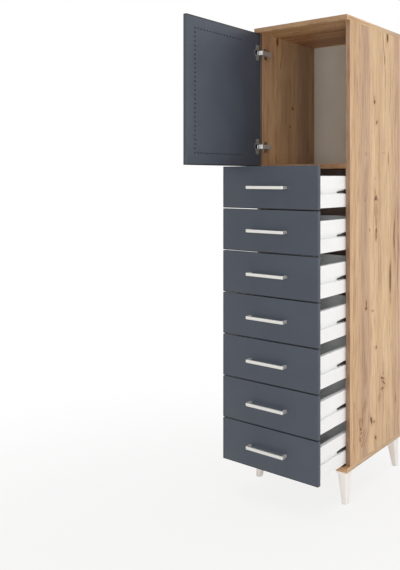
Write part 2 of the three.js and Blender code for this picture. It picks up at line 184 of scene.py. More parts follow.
for name, place, aim, size, power in lamps:
    lamp_data = bpy.data.lights.new(name, "AREA")
    lamp_data.shape = "SQUARE"
    lamp_data.size = size
    lamp_data.energy = power
    lamp = bpy.data.objects.new(name, lamp_data)
    lamp.location = place
    lamp.rotation_euler = (aim - place).to_track_quat("-Z", "Y").to_euler()
    bpy.context.scene.collection.objects.link(lamp)

# Case boards: particle board pressed between sheets of printed oak melamine, with edge bands.
# Both side panels carry one length of the print, the left one turned about, so that the knots
# inside the compartment mirror those outside. The front edges' bands are darker than the faces.
case_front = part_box("bottom_board")[0].y
case_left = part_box("bottom_board")[0].x
decor_turn = 0.464
board_shade = "#d4b28e"
band_calm = 0.3
square_on = 0.7
noise_middle = 0.5
grain_wander = 0.013
wrap_rise = 1.25
wander_across = 0.08
wander_along = 0.30
ragged_across = 0.012
ragged_along = 0.05
ragged_depth = 0.009
fibre_across = 0.0048
fibre_along = 0.11
strand_across = 0.013
strand_along = 0.24
tone_across = 0.045
tone_along = 0.40
pore_across = 0.0013    # a real pore is 0.2 mm wide, too fine to show
pore_along = 0.03
drift_rough = 0.5
layer_rough = 0.6
layer_shift = 0.5
drift_shift = 2.0
tone_share = 0.4
strand_share = 0.42
fibre_share = 0.5
pore_from = 0.66
pore_to = 0.74
pore_share = 0.35
oak_dull = 0.58
oak_glossy = 0.46
fibre_depth = 0.12 * millimetre
edge_band_depth = 0.60
# Below the shelf the front edges' band is darkened more, beside the drawers: painted shade.
painted_shade_band_depth = 0.68
band_change = 0.24
shelf_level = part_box("divider_shelf")[1].z
edge_tint = "#8c889a"
flat_band_depth = 0.57
flat_edge_tint = "#8c909a"
bottom_band_depth = 0.12
dark_from_front = 12 * millimetre
panel_arris = 6.5 * millimetre
shade_from = 0.10
shade_to = 0.43
knot_push = 0.8
knot_reach = 2.6
knot_depth = 0.6
ring_full = 0.7
core_reach = 1.2
core_full = 0.55
halo_share = 0.45
side_bands = (
    (0.000, "#bd9770"), (0.022, "#cca67f"), (0.040, "#d3b08a"), (0.060, "#c69f73"),
    (0.083, "#d3b18c"), (0.096, "#c1a184"), (0.122, "#b6977b"), (0.150, "#ba9c81"),
    (0.172, "#c4a689"), (0.186, "#dbbb95"), (0.214, "#e1c49c"), (0.232, "#d7b78f"),
    (0.264, "#cdae88"), (0.284, "#d5b68f"), (0.300, "#dfc199"), (0.352, "#dcbe96"),
    (0.384, "#ccab88"), (0.398, "#bc997a"), (0.412, "#cfac90"), (0.426, "#c09e81"),
    (0.445, "#cfb090"))
flat_bands = (
    (0.000, "#dab48b"), (0.045, "#dfbe96"), (0.059, "#cfac86"), (0.090, "#e2c19b"),
    (0.118, "#dcb992"), (0.149, "#d3ae86"), (0.165, "#c59e76"), (0.181, "#a37b54"),
    (0.197, "#b88f66"), (0.213, "#d4ad85"), (0.230, "#b88f66"), (0.263, "#cca47c"),
    (0.281, "#bf966d"), (0.298, "#b0865f"), (0.335, "#aa8059"), (0.371, "#ac825b"),
    (0.390, "#b78d66"), (0.409, "#a87e57"), (0.445, "#dab48b"))

# Each mark of the side panels: how far behind the front edge, how high, half its width and
# half its length, how much it leans, and how dark it is. All in millimetres but the last two.
# A mark of the flat boards has its place along x, from the middle, instead of its height.
side_marks = (
    (328, 1788, 8.4, 24, 0.00, 1.00), (294, 1740, 3.6, 60, -0.14, 0.60),
    (303, 1692, 3.8, 20, -0.10, 0.83), (309, 1620, 3.1, 50, 0.00, 0.48),
    (216, 1514, 6.5, 9, 0.00, 1.00), (216, 1529, 3.6, 14, 0.00, 0.56),
    (235, 1434, 8.4, 9, 0.40, 0.81), (148, 1307, 5.4, 9, 0.20, 0.50),
    (337, 1292, 5.0, 30, 0.00, 0.67), (290, 1315, 20.0, 4, 0.00, 0.24),
    (222, 1211, 4.3, 8, 0.00, 0.39), (138, 1127, 9.6, 5, 0.40, 0.54),
    (150, 1150, 4.1, 25, 0.30, 0.34), (226, 1131, 7.8, 9, 0.00, 1.00),
    (219, 1133, 4.6, 15, 0.40, 0.95), (236, 1134, 4.6, 15, -0.55, 0.95),
    (222, 1158, 3.6, 13, 0.00, 0.67), (227, 1085, 20.0, 40, 0.00, 0.44),
    (231, 1040, 12.0, 26, 0.00, 0.55), (232, 1004, 6.5, 14, 0.00, 1.00),
    (231, 980, 5.5, 12, 0.00, 0.81), (228, 988, 14.0, 30, 0.00, 0.51),
    (175, 1010, 6.0, 8, 0.00, 0.58), (397, 1060, 4.1, 40, 0.15, 0.55),
    (390, 1008, 6.5, 36, 0.12, 0.90), (387, 955, 7.8, 46, -0.04, 0.82),
    (397, 888, 6.0, 32, -0.08, 0.52), (425, 1045, 5.3, 60, 0.00, 0.55),
    (426, 925, 6.0, 80, 0.00, 0.57), (420, 815, 6.0, 80, 0.04, 0.57),
    (352, 800, 9.0, 76, 0.00, 1.00), (355, 712, 6.0, 20, 0.00, 0.39),
    (148, 708, 10.2, 8, 0.00, 1.00), (149, 725, 5.5, 18, 0.00, 0.95),
    (201, 690, 8.4, 4, -0.50, 0.69), (217, 650, 4.8, 25, 0.00, 0.36),
    (57, 900, 6.0, 60, 0.08, 0.34), (66, 795, 5.3, 60, 0.08, 0.31),
    (50, 715, 6.0, 50, 0.08, 0.31), (48, 585, 5.3, 60, 0.00, 0.40),
    (60, 1600, 6.0, 70, 0.00, 0.29), (415, 1560, 4.8, 90, 0.02, 0.38),
    (230, 540, 7.7, 7, 0.00, 0.87), (142, 450, 15.0, 52, 0.08, 0.36),
    (292, 424, 6.0, 5, 0.00, 0.56), (283, 406, 9.0, 8, -1.70, 1.00),
    (294, 386, 6.0, 12, -1.00, 1.00), (282, 365, 17.0, 5, 0.00, 0.74),
    (256, 337, 13.0, 20, 0.25, 0.38), (400, 294, 6.5, 25, 0.00, 0.62),
    (97, 275, 4.6, 25, -0.14, 0.68), (106, 252, 10.8, 7, 0.00, 0.86),
    (118, 277, 4.6, 24, 0.12, 0.74), (106, 288, 7.2, 12, 0.00, 0.52),
    (134, 336, 5.6, 27, 0.70, 0.62), (144, 324, 4.8, 24, 0.75, 0.50),
    (121, 318, 4.8, 22, 0.60, 0.56), (107, 237, 12.0, 5, 0.00, 0.66),
    (99, 215, 6.0, 14, -0.20, 0.72), (132, 214, 4.8, 32, 0.65, 0.58),
    (146, 202, 4.8, 32, 0.65, 0.50), (122, 226, 4.6, 26, 0.65, 0.58),
    (114, 188, 10.0, 9, 0.00, 0.50), (188, 263, 7.7, 17, -0.35, 1.00),
    (212, 251, 7.4, 7, -0.30, 0.74), (225, 184, 7.7, 9, -0.30, 0.99),
    (52, 312, 5.0, 42, -0.05, 0.45), (57, 355, 7.2, 20, -0.35, 0.40),
    (50, 215, 5.0, 32, 0.00, 0.36))
flat_marks = (
    (120, -60, 4.0, 26, 0.05, 0.80), (262, 90, 3.2, 30, -0.04, 0.75),
    (55, 130, 2.4, 90, 0.02, 0.60), (340, -120, 2.8, 100, 0.03, 0.70),
    (402, 40, 4.5, 16, 0.00, 0.80), (190, -170, 2.4, 80, 0.00, 0.60),
    (85, -20, 2.6, 120, -0.02, 0.60), (186, 60, 3.0, 130, 0.02, 0.65),
    (300, 10, 2.8, 150, -0.01, 0.60), (230, -150, 2.4, 60, 0.03, 0.55))


def stretched(tree, across, along, aside, width, length, shift, detail, roughness):
    place = add(tree, "CombineXYZ", {
        0: add(tree, "Math", {0: across, 1: 1 / width}, operation="MULTIPLY"),
        1: add(tree, "Math", {0: along, 1: 1 / length}, operation="MULTIPLY"),
        2: add(tree, "Math", {0: aside, 1: shift}, operation="MULTIPLY")})
    return add(tree, "TexNoise", {
        "Vector": place, "Scale": 1, "Detail": detail, "Roughness": roughness})


def oak_decor(name, upright, turned, shades, end_shades, band_depth, tint):
    bands, marks = (side_bands, side_marks) if upright else (flat_bands, flat_marks)
    material, tree, skin = finish(name, "#c9a57e", 0.5)
    spot = add(tree, "SeparateXYZ", {0: add(tree, "TexCoord", output="Object")})
    x, y, z = spot.node.outputs
    behind = add(tree, "Math", {0: y, 1: case_front}, operation="SUBTRACT")
    from_left = add(tree, "Math", {0: x, 1: case_left}, operation="SUBTRACT")
    facing = add(tree, "SeparateXYZ", {0: add(tree, "NewGeometry", output="Normal")})
    if upright:
        across = add(tree, "Math", {0: behind, 1: -1 if turned else 1,
                                    2: decor_turn if turned else 0}, operation="MULTIPLY_ADD")
        along = z
    else:
        sideways = add(tree, "Math", {0: facing}, operation="ABSOLUTE")
        on_end = add(tree, "Math", {0: sideways, 1: square_on}, operation="GREATER_THAN")
        wrapped = add(tree, "Math", {0: z, 1: wrap_rise, 2: behind}, operation="MULTIPLY_ADD")
        along = add(tree, "Mix", {0: on_end, 2: x, 3: behind})
        across = add(tree, "Mix", {0: on_end, 2: wrapped, 3: z})
    widest = bands[-1][0]
    printed = across if upright else add(
        tree, "Math", {0: across, 1: widest}, operation="MODULO")
    drift = stretched(tree, across, along, from_left, wander_across, wander_along, drift_shift,
                      2, drift_rough)
    drift = add(tree, "Math", {0: drift, 1: noise_middle}, operation="SUBTRACT")
    wavy = add(tree, "Math", {0: drift, 1: 2 * grain_wander, 2: across},
               operation="MULTIPLY_ADD")
    ragged = stretched(tree, across, along, from_left, ragged_across, ragged_along, 0,
                       3, drift_rough)
    ragged = add(tree, "Math", {0: ragged, 1: noise_middle}, operation="SUBTRACT")
    ragged = add(tree, "Math", {0: ragged, 1: ragged_depth, 2: printed},
                 operation="MULTIPLY_ADD")
    flowing = wavy
    dark = None
    halo = None
    for back, height, half_width, half_length, lean, depth in marks:
        up = add(tree, "Math", {0: along, 1: height * millimetre}, operation="SUBTRACT")
        aside = add(tree, "Math", {0: ragged, 1: back * millimetre}, operation="SUBTRACT")
        aside = add(tree, "Math", {0: up, 1: -lean, 2: aside}, operation="MULTIPLY_ADD")
        wide = add(tree, "Math", {0: aside, 1: half_width * millimetre}, operation="DIVIDE")
        tall = add(tree, "Math", {0: up, 1: half_length * millimetre}, operation="DIVIDE")
        place = add(tree, "CombineXYZ", {0: wide, 1: tall})
        away = add(tree, "VectorMath", {0: place}, output="Value", operation="LENGTH")
        core = add(tree, "MapRange", {0: away, 1: core_reach, 2: core_full, 3: 0, 4: depth},
                   interpolation_type="SMOOTHSTEP")
        dark = core if dark is None else add(
            tree, "Math", {0: dark, 1: core}, operation="MAXIMUM")
        if depth < knot_depth:
            continue
        ring = add(tree, "MapRange", {0: away, 1: knot_reach, 2: ring_full, 3: 0, 4: depth},
                   interpolation_type="SMOOTHSTEP")
        bulge = add(tree, "Math", {0: ring, 1: aside}, operation="MULTIPLY")
        flowing = add(tree, "Math", {0: bulge, 1: -knot_push, 2: flowing},
                      operation="MULTIPLY_ADD")
        halo = ring if halo is None else add(
            tree, "Math", {0: halo, 1: ring}, operation="MAXIMUM")
    layers = {}
    for layer, width, length, detail in (
            ("tone", tone_across, tone_along, 3),
            ("strand", strand_across, strand_along, 3),
            ("fibre", fibre_across, fibre_along, 4),
            ("pore", pore_across, pore_along, 1)):
        layers[layer] = stretched(tree, flowing, along, from_left, width, length,
                                  layer_shift / width, detail, layer_rough)
    share = wavy if upright else add(
        tree, "Math", {0: wavy, 1: widest}, operation="MODULO")
    share = add(tree, "Math", {0: share, 1: widest}, operation="DIVIDE")
    base = add(tree, "ValToRGB", {0: share}, stops=[(at / widest, tone) for at, tone in bands])
    if upright:
        base = add(tree, "Mix", {0: band_calm, 6: base, 7: linear(board_shade)}, **blended)
    # From front to rear, shades and end shades multiply the print; where they change, they are
    # painted shade.
    rearward = add(tree, "MapRange", {0: behind, 1: shade_from, 2: shade_to})
    shade = add(tree, "Mix", {0: rearward, 6: linear(shades[0]), 7: linear(shades[1])}, **blended)
    if not upright:
        ends = add(tree, "Mix", {0: rearward, 6: linear(end_shades[0]),
                                 7: linear(end_shades[1])}, **blended)
        shade = add(tree, "Mix", {0: on_end, 6: shade, 7: ends}, **blended)
    base = add(tree, "Mix", {0: 1, 6: base, 7: shade}, **multiplied)
    tone = add(tree, "ValToRGB", {0: layers["tone"]}, stops=(
        (0.28, "#c6b7ac"), (0.44, "#efe8e3"), (0.58, "#ffffff"), (0.72, "#fbf4ea")))
    base = add(tree, "Mix", {0: tone_share, 6: base, 7: tone}, **multiplied)
    bundle = add(tree, "ValToRGB", {0: layers["strand"]}, stops=(
        (0.30, "#a98f78"), (0.42, "#e9dfd4"), (0.52, "#ffffff"), (0.75, "#fffaf0")))
    base = add(tree, "Mix", {0: strand_share, 6: base, 7: bundle}, **multiplied)
    strands = add(tree, "ValToRGB", {0: layers["fibre"]}, stops=(
        (0.28, "#9d8a7b"), (0.42, "#e3dad1"), (0.52, "#ffffff"), (0.75, "#fffdf8")))
    base = add(tree, "Mix", {0: fibre_share, 6: base, 7: strands}, **multiplied)
    pores = add(tree, "MapRange", {0: layers["pore"], 1: pore_from, 2: pore_to, 3: 0,
                                   4: pore_share})
    base = add(tree, "Mix", {0: pores, 6: base, 7: linear("#7d5f45")}, **blended)
    warm = add(tree, "Math", {0: halo, 1: halo_share}, operation="MULTIPLY")
    base = add(tree, "Mix", {0: warm, 6: base, 7: linear("#b08459")}, **blended)
    core = add(tree, "ValToRGB", {0: dark},
               stops=((0.2, "#96683f"), (0.6, "#7c4f27"), (1.0, "#5c370c")))
    base = add(tree, "Mix", {0: dark, 6: base, 7: core}, **blended)
    banded = add(tree, "Math", {0: facing.node.outputs[1], 1: -square_on},
                 operation="LESS_THAN")
    # Painted shade: the front edges' band darkens below the shelf, beside the drawers.
    if upright:
        band_depth = add(tree, "MapRange", {0: z, 1: shelf_level, 2: shelf_level + band_change,
                                            3: painted_shade_band_depth, 4: band_depth})
    banded = add(tree, "Math", {0: banded, 1: band_depth}, operation="MULTIPLY")
    base = add(tree, "Mix", {0: banded, 6: base, 7: linear(tint)}, **multiplied)
    coat(tree, skin, base, layers["fibre"], rough=(oak_dull, oak_glossy))
    relief = add(tree, "Math", {0: layers["fibre"], 1: pores}, operation="SUBTRACT")
    bump = add(tree, "Bump", {"Height": relief, "Strength": 0.5, "Distance": fibre_depth})
    tree.links.new(bump, skin.inputs["Normal"])
    return material


def dress(node, material):
    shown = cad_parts[node]
    shown.data.materials.clear()
    shown.data.materials.append(material)


oak_right = oak_decor("oak_melamine_upright", True, False, ("#ffffff", "#ffffff"), (),
                      edge_band_depth, edge_tint)
# Painted shade: the left panel darkens towards the rear of the compartment.
oak_left = oak_decor("oak_melamine_upright_turned", True, True, ("#dcd6cf", "#afa9a3"), (),
                     edge_band_depth, edge_tint)
# Painted shade: the flat boards darken towards the front, and their end faces towards the rear.
oak_flat = oak_decor("oak_melamine_flat", False, False, ("#ece1d4", "#fbf6f0"),
                     ("#ffffff", "#dfe4f0"), flat_band_depth, flat_edge_tint)
oak_bottom = oak_decor("oak_melamine_flat_bottom", False, False, ("#ffffff", "#ffffff"),
                       ("#f1f9ff", "#f1f9ff"), bottom_band_depth, edge_tint)

# Painted shade: the bottom board's top is darkened under the lowest drawer, and the left panel's
# inner face just behind the arris that the open door stands before.
oak_bottom, tree, skin, plain, spot = opened(oak_bottom)
facing = add(tree, "SeparateXYZ", {0: add(tree, "NewGeometry", output="Normal")})
upward = add(tree, "Math", {0: facing.node.outputs[2], 1: square_on}, operation="GREATER_THAN")
inside = add(tree, "Math", {0: spot[1], 1: case_front + dark_from_front},
             operation="GREATER_THAN")
drawer_low, drawer_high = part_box("drawer_7_box")
between = add(tree, "Math", {0: spot[0], 1: (drawer_low.x + drawer_high.x) / 2,
                             2: (drawer_high.x - drawer_low.x) / 2}, operation="COMPARE")
under_drawer_shade = add(tree, "Math", {0: upward, 1: inside}, operation="MULTIPLY")
under_drawer_shade = add(tree, "Math", {0: under_drawer_shade, 1: between}, operation="MULTIPLY")
base = add(tree, "Mix", {0: under_drawer_shade, 6: plain, 7: linear("#1c150f")}, **blended)
coat(tree, skin, base)

oak_left, tree, skin, plain, spot = opened(oak_left)
facing = add(tree, "SeparateXYZ", {0: add(tree, "NewGeometry", output="Normal")})
rightward = add(tree, "Math", {0: facing, 1: square_on}, operation="GREATER_THAN")
panel_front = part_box("left_side_panel")[0].y
# Painted shade of the open door: a strip of the inner face just behind the front arris is darkened.
arris = add(tree, "Math", {0: spot[1], 1: panel_front + panel_arris}, operation="LESS_THAN")
arris = add(tree, "Math", {0: arris, 1: rightward}, operation="MULTIPLY")
base = add(tree, "Mix", {0: arris, 6: plain, 7: linear("#818c9a")}, **multiplied)
coat(tree, skin, base)
dress("right_side_panel", oak_right)
dress("left_side_panel", oak_left)
dress("top_board", oak_flat)
dress("divider_shelf", oak_flat)
dress("bottom_board", oak_bottom)

# Back: 3 mm hardboard slid into its groove. The face inside is lacquered grey-beige, with painted
# shade darker at the left, and painted shade with a painted brown reflection of the oak behind the
# drawers; the raw face behind shows its pressed brown fibres.
back_fibre = 0.0035
back_cloud = 0.16
back_even = 0.14
back_low, back_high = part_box("back_panel")
back_middle = (back_low.y + back_high.y) / 2

hardboard, tree, skin = finish("lacquered_hardboard", "#cfc5b8", 0.6)
spot = add(tree, "TexCoord", output="Object")
fibres = add(tree, "TexNoise", {"Vector": spot, "Scale": 1 / back_fibre, "Detail": 3})
cloud = add(tree, "TexNoise", {"Vector": spot, "Scale": 1 / back_cloud, "Detail": 2})
lacquer = add(tree, "ValToRGB", {0: cloud}, stops=((0.3, "#ebe6da"), (0.7, "#f1ece0")))
raw = add(tree, "ValToRGB", {0: fibres},
          stops=((0.25, "#6b4a30"), (0.5, "#8a6444"), (0.75, "#a37c58")))
depth = add(tree, "SeparateXYZ", {0: spot})
# Painted shade: the lacquer darkens towards the left.
rightward = add(tree, "MapRange", {0: depth, 1: back_low.x, 2: back_high.x - back_even})
shade = add(tree, "Mix", {0: rightward, 6: linear("#b5b1ad"), 7: linear("#ffffff")}, **blended)
lacquer = add(tree, "Mix", {0: 1, 6: lacquer, 7: shade}, **multiplied)
# Painted shade and a painted brown reflection of the oak: the lacquer is browner below the shelf.
lower = add(tree, "Math", {0: depth.node.outputs[2], 1: shelf_level}, operation="LESS_THAN")
shade = add(tree, "Mix", {0: lower, 6: linear("#ffffff"), 7: linear("#ffe0dd")}, **blended)
lacquer = add(tree, "Mix", {0: 1, 6: lacquer, 7: shade}, **multiplied)
behind = add(tree, "Math", {0: depth.node.outputs[1], 1: back_middle}, operation="GREATER_THAN")
base = add(tree, "Mix", {0: behind, 6: lacquer, 7: raw}, **blended)
coat(tree, skin, base, fibres, relief=(0.3, 0.1))
dress("back_panel", hardboard)


# Legs: one cream polypropylene moulding at each corner, half matt from its fine mould grain. The
# outer faces are upright; the inner ones taper to the foot and flare out into a flange, which
# three zinc-plated screws, cold and faintly spangled, hold up to the bottom board.
tiny = 0.01 * millimetre
squarely = 0.9


def alone(piece):
    bpy.ops.object.select_all(action="DESELECT")
    piece.select_set(True)
    bpy.context.view_layer.objects.active = piece


def pick(piece, kind, test):
    bpy.ops.mesh.select_mode(type={"verts": "VERT", "edges": "EDGE", "faces": "FACE"}[kind])
    bpy.ops.mesh.select_all(action="DESELECT")
    shape = bmesh.from_edit_mesh(piece.data)
    for element in getattr(shape, kind):
        if test(element):
            element.select_set(True)
    bmesh.update_edit_mesh(piece.data)


def settle(piece, name, material, body, slot, *nodes, smooth=35):
    alone(piece)
    bpy.ops.object.transform_apply(location=True, rotation=True, scale=True)
    bpy.ops.object.mode_set(mode="EDIT")
    bpy.ops.mesh.select_all(action="SELECT")
    bpy.ops.mesh.remove_doubles(threshold=tiny)
    bpy.ops.mesh.normals_make_consistent(inside=False)
    bpy.ops.object.mode_set(mode="OBJECT")
    bpy.ops.object.shade_smooth_by_angle(angle=math.radians(smooth))
    piece.name = name
    piece.data.name = name
    piece.data.materials.clear()
    piece.data.materials.append(material)
    if nodes:
        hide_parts(*nodes)
    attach(piece, body)
    return piece


def copied(piece, change):
    twin = piece.copy()
    twin.data = piece.data.copy()
    twin.data.transform(change)
    bpy.context.scene.collection.objects.link(twin)
    return twin


def screw_head(radius, height, rounding, steps, rim, recess):
    bpy.ops.object.select_all(action="DESELECT")
    bpy.ops.mesh.primitive_cylinder_add(
        vertices=screw_sides, radius=radius, depth=height, location=(0, 0, height / 2))
    head = bpy.context.object
    bpy.ops.object.mode_set(mode="EDIT")
    pick(head, "faces", lambda face: face.normal.z > squarely)
    bpy.ops.mesh.bevel(offset=rounding, segments=steps)
    pick(head, "faces", lambda face: face.normal.z > squarely
         and len(face.verts) > screw_sides / 2)
    bpy.ops.mesh.inset(thickness=rim)
    bpy.ops.mesh.extrude_region_move(TRANSFORM_OT_translate={"value": (0, 0, -recess)})
    bpy.ops.object.mode_set(mode="OBJECT")
    return head


leg_low, leg_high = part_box("leg_front_left")
leg_foot = 21 * millimetre
leg_neck = 36 * millimetre
leg_flange = leg_high.x - leg_low.x
leg_flange_thickness = 3 * millimetre
leg_flare = 28 * millimetre
leg_corner_share = 0.18
leg_corner_steps = 5
leg_chamfer = 1 * millimetre
flare_steps = 9
leg_cloud = 1 / 28
mould_grain = 0.8 * millimetre
spangle_size = 5 * millimetre
screw_sides = 20
leg_screw_radius = 3.4 * millimetre
leg_screw_height = 1.6 * millimetre
leg_screw_inset = 9 * millimetre
leg_screw_near = 0.32
leg_screw_rounding = 0.9 * millimetre
leg_screw_steps = 3
leg_screw_rim = 1.1 * millimetre
leg_screw_recess = 0.8 * millimetre

cream, tree, skin = finish("cream_moulded_polypropylene", "#e7e0d5", 0.42)
spot = add(tree, "TexCoord", output="Object")
cloud = add(tree, "TexNoise", {"Vector": spot, "Scale": 1 / leg_cloud, "Detail": 2})
base = add(tree, "ValToRGB", {0: cloud}, stops=((0.3, "#edeae5"), (0.7, "#f2efeb")))
grit = add(tree, "TexNoise", {"Vector": spot, "Scale": 1 / mould_grain, "Detail": 1})
coat(tree, skin, base, grit, relief=(0.25, 0.05))

steel, tree, skin = finish("zinc_plated_steel", "#b9bcbf", 0.34, 1)
spot = add(tree, "TexCoord", output="Object")
spangle = add(tree, "TexNoise", {"Vector": spot, "Scale": 1 / spangle_size, "Detail": 3})
base = add(tree, "ValToRGB", {0: spangle}, stops=((0.35, "#a9adb1"), (0.65, "#c9cccd")))
coat(tree, skin, base, spangle, rough=(0.28, 0.42))

bpy.ops.object.select_all(action="DESELECT")
foot_middle = (leg_low.x + leg_foot / 2, leg_low.y + leg_foot / 2, leg_low.z)
bpy.ops.mesh.primitive_plane_add(size=leg_foot - 2 * leg_chamfer, location=foot_middle)
leg = bpy.context.object
bpy.ops.object.mode_set(mode="EDIT")
bpy.ops.mesh.select_all(action="SELECT")
bpy.ops.mesh.bevel(offset=leg_foot * leg_corner_share, segments=leg_corner_steps, affect="VERTICES")
bpy.ops.mesh.select_all(action="SELECT")
bpy.ops.mesh.extrude_region_move(TRANSFORM_OT_translate={"value": (0, 0, leg_chamfer)})
grow = leg_foot / (leg_foot - 2 * leg_chamfer)
bpy.ops.transform.resize(value=(grow, grow, 1), center_override=foot_middle)
corner = (leg_low.x, leg_low.y, leg_low.z)
rings = [(leg_neck, leg_high.z - leg_flange_thickness - leg_flare)]
for step in range(1, flare_steps + 1):
    angle = step / flare_steps * math.pi / 2
    spread = (leg_flange - leg_neck) * (1 - math.cos(angle))
    rise = leg_flare * (math.sin(angle) - 1)
    rings.append((leg_neck + spread, leg_high.z - leg_flange_thickness + rise))
rings.append((leg_flange, leg_high.z))
ring_size = leg_foot
ring_height = leg_low.z + leg_chamfer
for size, height in rings:
    rise = (0, 0, height - ring_height)
    bpy.ops.mesh.extrude_region_move(TRANSFORM_OT_translate={"value": rise})
    grow = size / ring_size
    bpy.ops.transform.resize(value=(grow, grow, 1), center_override=corner)
    ring_size = size
    ring_height = height
bpy.ops.object.mode_set(mode="OBJECT")
alone(leg)
bpy.ops.object.transform_apply(location=True, rotation=True, scale=True)

screw_low = leg_high.z - leg_flange_thickness - leg_screw_height
screws = []
near = leg_flange - leg_screw_inset
far = leg_flange * leg_screw_near
for across, back in ((near, near), (near, far), (far, near)):
    head = screw_head(leg_screw_radius, 2 * leg_screw_height, leg_screw_rounding,
                      leg_screw_steps, leg_screw_rim, leg_screw_recess)
    head.rotation_euler.x = math.pi
    head.location = (leg_low.x + across, leg_low.y + back, screw_low + leg_screw_height)
    screws.append(head)
alone(screws[0])
for head in screws:
    head.select_set(True)
bpy.ops.object.join()
leg_screws = bpy.context.object
bpy.ops.object.transform_apply(location=True, rotation=True, scale=True)

case_low, case_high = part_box("bottom_board")
case_middle = Vector(((case_low.x + case_high.x) / 2, (case_low.y + case_high.y) / 2, 0))
to_middle = Matrix.Translation(-case_middle)
for where, mirror in (
        ("front_left", (1, 1, 1)), ("front_right", (-1, 1, 1)),
        ("rear_right", (-1, -1, 1)), ("rear_left", (1, -1, 1))):
    change = Matrix.Translation(case_middle) @ Matrix.Diagonal((*mirror, 1)) @ to_middle
    settle(copied(leg, change), "leg_" + where + "_moulding", cream, "case", "cream_leg",
           "leg_" + where)
    settle(copied(leg_screws, change), "leg_" + where + "_screws", steel, "case", "runner_steel")
bpy.data.objects.remove(leg)
bpy.data.objects.remove(leg_screws)


# Drawer fronts: 16 mm board wrapped in matt anthracite foil, edges rounded over. The foil has a
# sandy grain that takes the gloss off, drawn coarser than the real 0.1 mm so that it shows.
# Painted shade darkens it along the left and lower arrises, and more painted shade darkens the
# fronts upwards to the top drawer.
def slab(low, high):
    bpy.ops.object.select_all(action="DESELECT")
    bpy.ops.mesh.primitive_cube_add(size=1, location=(low + high) / 2)
    piece = bpy.context.object
    piece.scale = high - low
    bpy.ops.object.transform_apply(location=True, rotation=True, scale=True)
    return piece


def round_over(piece, radius, steps):
    alone(piece)
    rounding = piece.modifiers.new("rounding", "BEVEL")
    rounding.width = radius
    rounding.segments = steps
    rounding.limit_method = "ANGLE"
    bpy.ops.object.modifier_apply(modifier="rounding")


front_radius = 1.3 * millimetre
front_steps = 4
foil_grain = 0.7 * millimetre
foil_cloud = 0.11
speck_share = 0.6
arris_width = 5 * millimetre
arris_under = 3 * millimetre
front_top_shade = "#e6e6e7"

foil, tree, skin = finish("anthracite_matt_foil", "#4f5560", 0.46)
spot = add(tree, "TexCoord", output="Object")
cloud = add(tree, "TexNoise", {"Vector": spot, "Scale": 1 / foil_cloud, "Detail": 3})
grain = add(tree, "TexNoise", {"Vector": spot, "Scale": 1 / foil_grain, "Detail": 2})
base = add(tree, "ValToRGB", {0: cloud}, stops=((0.3, "#3f4652"), (0.7, "#444c57")))
specks = add(tree, "ValToRGB", {0: grain}, stops=((0.3, "#e8e8ea"), (0.7, "#ffffff")))
base = add(tree, "Mix", {0: speck_share, 6: base, 7: specks}, **multiplied)
coat(tree, skin, base, grain, rough=(0.42, 0.52), relief=(0.4, 0.04))

drawer_numbers = range(1, 8)
first_low, first_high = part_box("drawer_1_front")
front_pitch = first_low.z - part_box("drawer_2_front")[0].z
arris_foil, tree, skin, plain, spot = opened(foil, "anthracite_matt_foil_painted_arris_shade")
# Painted shade: a dark line along the left and lower arrises of each front.
at_left = add(tree, "Math", {0: spot[0], 1: first_low.x + arris_width}, operation="LESS_THAN")
rise = add(tree, "Math", {0: spot[2], 1: first_low.z}, operation="SUBTRACT")
rise = add(tree, "Math", {0: rise, 1: front_pitch}, operation="FLOORED_MODULO")
below = add(tree, "Math", {0: rise, 1: arris_under}, operation="LESS_THAN")
arris_shade = add(tree, "Math", {0: at_left, 1: below}, operation="MAXIMUM")
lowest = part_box("drawer_7_front")[0].z
# Painted shade: the fronts darken upwards to the top drawer.
upward = add(tree, "MapRange", {0: spot[2], 1: lowest, 2: first_high.z})
shade = add(tree, "Mix", {0: upward, 6: linear("#ffffff"), 7: linear(front_top_shade)}, **blended)
base = add(tree, "Mix", {0: 1, 6: plain, 7: shade}, **multiplied)
base = add(tree, "Mix", {0: arris_shade, 6: base, 7: linear("#101216")}, **blended)
coat(tree, skin, base)
first_front = slab(first_low, first_high)
round_over(first_front, front_radius, front_steps)
for number in drawer_numbers:
    node = f"drawer_{number}_front"
    drop = Matrix.Translation(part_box(node)[0] - first_low)
    settle(copied(first_front, drop), f"drawer_{number}_foil_front", arris_foil,
           f"drawer_{number}", "anthracite_front", node)
bpy.data.objects.remove(first_front)

# Door: the same foiled board, bored for two hinge cups, with a border of small blind holes along
# three edges of the inner face. Painted shade darkens the holes and bores inside and the face
# towards the hinges, and a narrow band at the top, the foot and the free edge is dark. It stands
# open at a right angle.
border_inset = 44 * millimetre
border_spaces_up = 28
border_spaces_across = 21
border_spaces_left_out = 4
hole_radius = 3.1 * millimetre
hole_depth = 4 * millimetre
hole_sides = 12
cup_bore = 17.8 * millimetre
cup_bore_depth = 12.6 * millimetre
cutter_overrun = 2 * millimetre
cup_bore_sides = 64
dark_edge_width = 4.5 * millimetre
bore_skin = 0.6 * millimetre
outer_skin = 2 * millimetre

